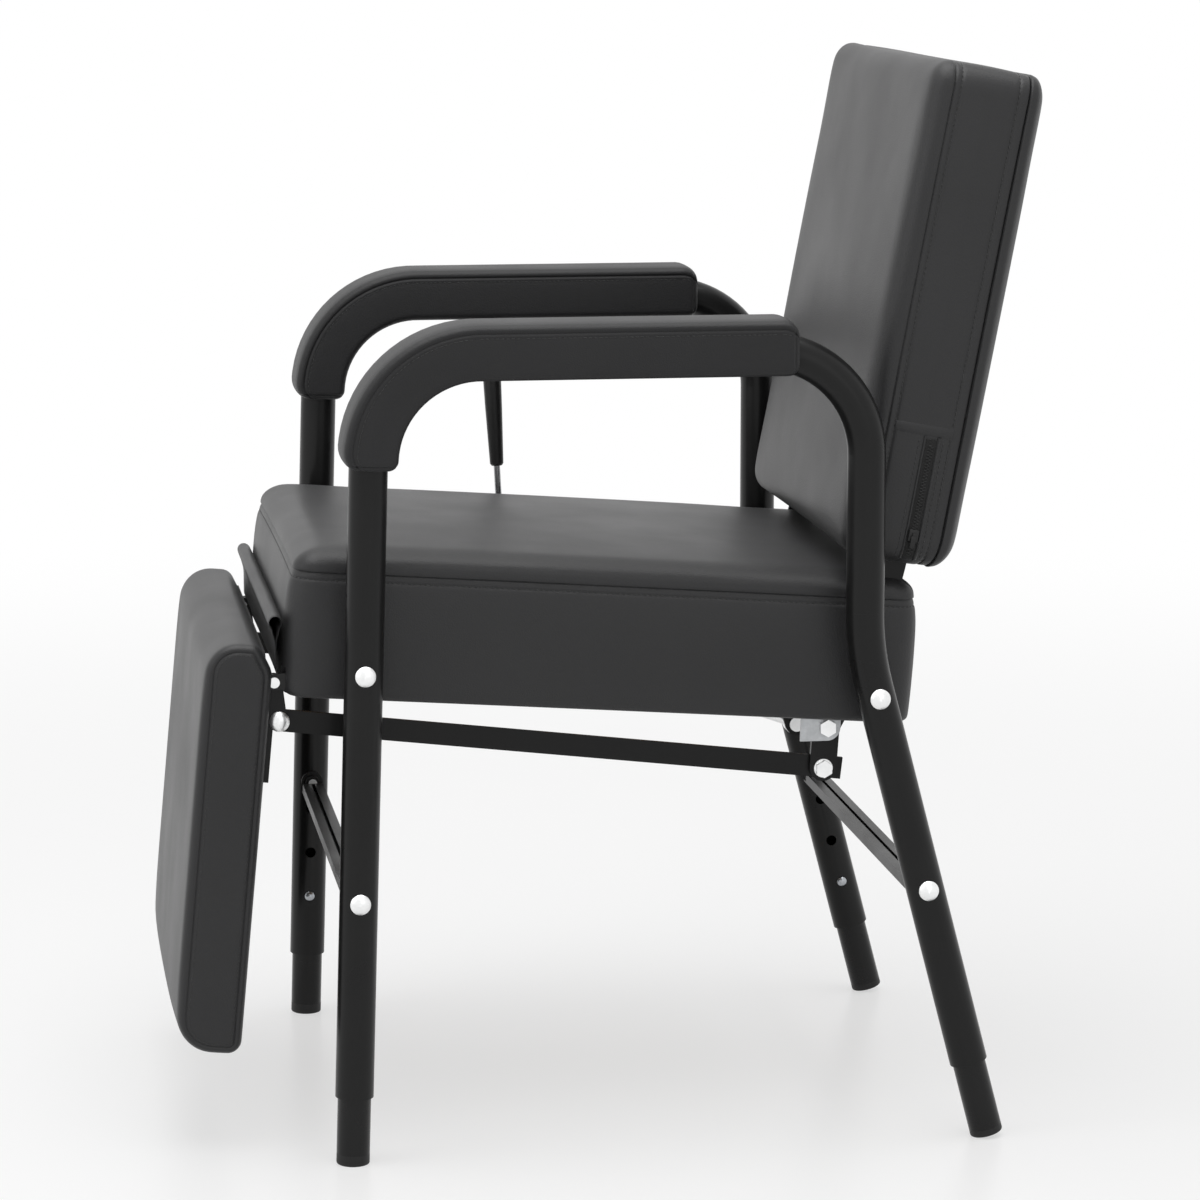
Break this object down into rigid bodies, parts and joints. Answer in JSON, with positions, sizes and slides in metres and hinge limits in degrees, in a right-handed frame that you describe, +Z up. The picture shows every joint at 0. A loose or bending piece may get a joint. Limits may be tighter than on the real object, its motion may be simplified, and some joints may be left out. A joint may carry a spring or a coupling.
{
  "type": "reclining salon chair",
  "caption": "Reclining salon chair with bent tube side frames, padded arms, telescoping legs, a linked back and legrest, and a release lever.",
  "frame": {"origin": "middle of the bounding box at floor level", "axes": "+Z up, the chair faces -Y, +X is the sitter's left"},
  "size_m": [0.557, 0.7201, 0.9062],
  "materials": {
    "frame_tube": "black powder coat, smooth satin",
    "pad_vinyl": "black grained vinyl",
    "brace_paint": "black powder coat",
    "bolt_chrome": "bright plating",
    "rail_paint": "black paint",
    "board_wood": "bare plywood",
    "cushion_vinyl": "black grained vinyl",
    "screw_zinc": "zinc plating",
    "bracket_zinc": "zinc plating",
    "arm_paint": "black paint",
    "inner_tube": "black paint",
    "foot_plastic": "moulded black plastic",
    "spring_steel": "bright spring steel",
    "zip_black": "black zip teeth on tape",
    "lever_chrome": "bright plating",
    "grip_plastic": "moulded black plastic"
  },
  "bodies": {
    "chair_frame": {"side_frame_left": "frame_tube", "side_frame_right": "frame_tube", "armrest_pad_left": "pad_vinyl", "armrest_pad_right": "pad_vinyl", "front_brace": "brace_paint", "rear_brace": "brace_paint", "brace_bolts": "bolt_chrome", "seat_rail_left": "rail_paint", "seat_rail_right": "rail_paint", "front_cross_rail": "rail_paint", "middle_cross_rail": "rail_paint", "seat_board": "board_wood", "seat_cushion": "cushion_vinyl", "seat_bolts": "bolt_chrome", "seat_spacers": "rail_paint", "seat_board_screws": "screw_zinc", "pivot_bracket_left": "bracket_zinc", "pivot_bracket_right": "bracket_zinc", "hinge_ear_left": "rail_paint", "hinge_ear_right": "rail_paint", "lock_bracket": "rail_paint", "lever_bearings": "rail_paint", "lever_spring": "spring_steel", "gap_flap": "cushion_vinyl"},
    "back": {"back_arm_left": "arm_paint", "back_arm_right": "arm_paint", "back_shaft": "arm_paint", "pivot_bolts": "bolt_chrome", "link_bolts": "bolt_chrome", "lock_crank": "arm_paint", "back_board": "board_wood", "back_board_bolts": "screw_zinc", "back_cushion": "cushion_vinyl", "back_rear_pad": "cushion_vinyl", "back_zips": "zip_black"},
    "links": {"link_bar_left": "arm_paint", "link_bar_right": "arm_paint"},
    "legrest": {"legrest_bracket_left": "arm_paint", "legrest_bracket_right": "arm_paint", "hinge_pins": "bolt_chrome", "link_pins": "bolt_chrome", "legrest_board": "board_wood", "legrest_screws": "screw_zinc", "legrest_cushion": "cushion_vinyl"},
    "lock_cylinder": {"lock_cylinder": "rail_paint"},
    "lock_rod": {"lock_rod": "bolt_chrome"},
    "lever": {"lever": "lever_chrome", "lever_grip": "grip_plastic"},
    "release_pin": {"release_pin": "bolt_chrome"},
    "leg_front_left": {"inner_leg_front_left": "inner_tube", "foot_tip_front_left": "foot_plastic", "snap_spring_front_left": "spring_steel"},
    "leg_front_right": {"inner_leg_front_right": "inner_tube", "foot_tip_front_right": "foot_plastic", "snap_spring_front_right": "spring_steel"},
    "leg_rear_left": {"inner_leg_rear_left": "inner_tube", "foot_tip_rear_left": "foot_plastic", "snap_spring_rear_left": "spring_steel"},
    "leg_rear_right": {"inner_leg_rear_right": "inner_tube", "foot_tip_rear_right": "foot_plastic", "snap_spring_rear_right": "spring_steel"}
  },
  "joints": [
    {"name": "back_recline", "type": "hinge", "parent": "chair_frame", "child": "back", "pos_m": [0, 0.1893, 0.3484], "axis": [-1, 0, 0], "range_deg": [0, 30], "deforming": ["gap_flap"]},
    {"name": "legrest_swing", "type": "hinge", "parent": "chair_frame", "child": "legrest", "pos_m": [0, -0.277, 0.4], "axis": [-1, 0, 0], "range_deg": [0, 31], "deforming": ["gap_flap"]},
    {"name": "link_pivot", "type": "hinge", "parent": "back", "child": "links", "pos_m": [0, 0.18681, 0.31279], "axis": [-1, 0, 0], "range_deg": [-30.5, 0]},
    {"name": "lock_swing", "type": "hinge", "parent": "chair_frame", "child": "lock_cylinder", "pos_m": [0, 0.004, 0.383], "axis": [-1, 0, 0], "range_deg": [0, 2.3]},
    {"name": "lock_slide", "type": "slide", "parent": "lock_cylinder", "child": "lock_rod", "axis": [0, 0.9433, -0.3321], "range_m": [-0.0172, 0]},
    {"name": "lever_pull", "type": "hinge", "parent": "chair_frame", "child": "lever", "pos_m": [0, -0.031, 0.364], "axis": [-1, 0, 0], "range_deg": [0, 12], "stiffness_Nm_per_rad": 2, "springref_deg": -17.19, "deforming": ["lever_spring"]},
    {"name": "release_press", "type": "slide", "parent": "lock_cylinder", "child": "release_pin", "axis": [0, 0.9433, -0.3321], "range_m": [0, 0.0068]},
    {"name": "leg_slide_front_left", "type": "slide", "parent": "chair_frame", "child": "leg_front_left", "axis": [0, 0.0309, 0.9995], "range_m": [0, 0.084], "deforming": ["snap_spring_front_left"]},
    {"name": "leg_slide_front_right", "type": "slide", "parent": "chair_frame", "child": "leg_front_right", "axis": [0, 0.0309, 0.9995], "range_m": [0, 0.084], "deforming": ["snap_spring_front_right"]},
    {"name": "leg_slide_rear_left", "type": "slide", "parent": "chair_frame", "child": "leg_rear_left", "axis": [0, -0.2538, 0.9673], "range_m": [0, 0.084], "deforming": ["snap_spring_rear_left"]},
    {"name": "leg_slide_rear_right", "type": "slide", "parent": "chair_frame", "child": "leg_rear_right", "axis": [0, -0.2538, 0.9673], "range_m": [0, 0.084], "deforming": ["snap_spring_rear_right"]}
  ],
  "couplings": [
    {"joint": "legrest_swing", "follows": "back_recline", "ratio": 1.0318},
    {"joint": "link_pivot", "follows": "back_recline", "ratio": -1.0139},
    {"joint": "lock_swing", "follows": "back_recline", "ratio": 0.0756},
    {"joint": "lock_slide", "follows": "back_recline", "m_per_rad": -0.032283},
    {"joint": "release_press", "follows": "lever_pull", "m_per_rad": 0.032}
  ]
}
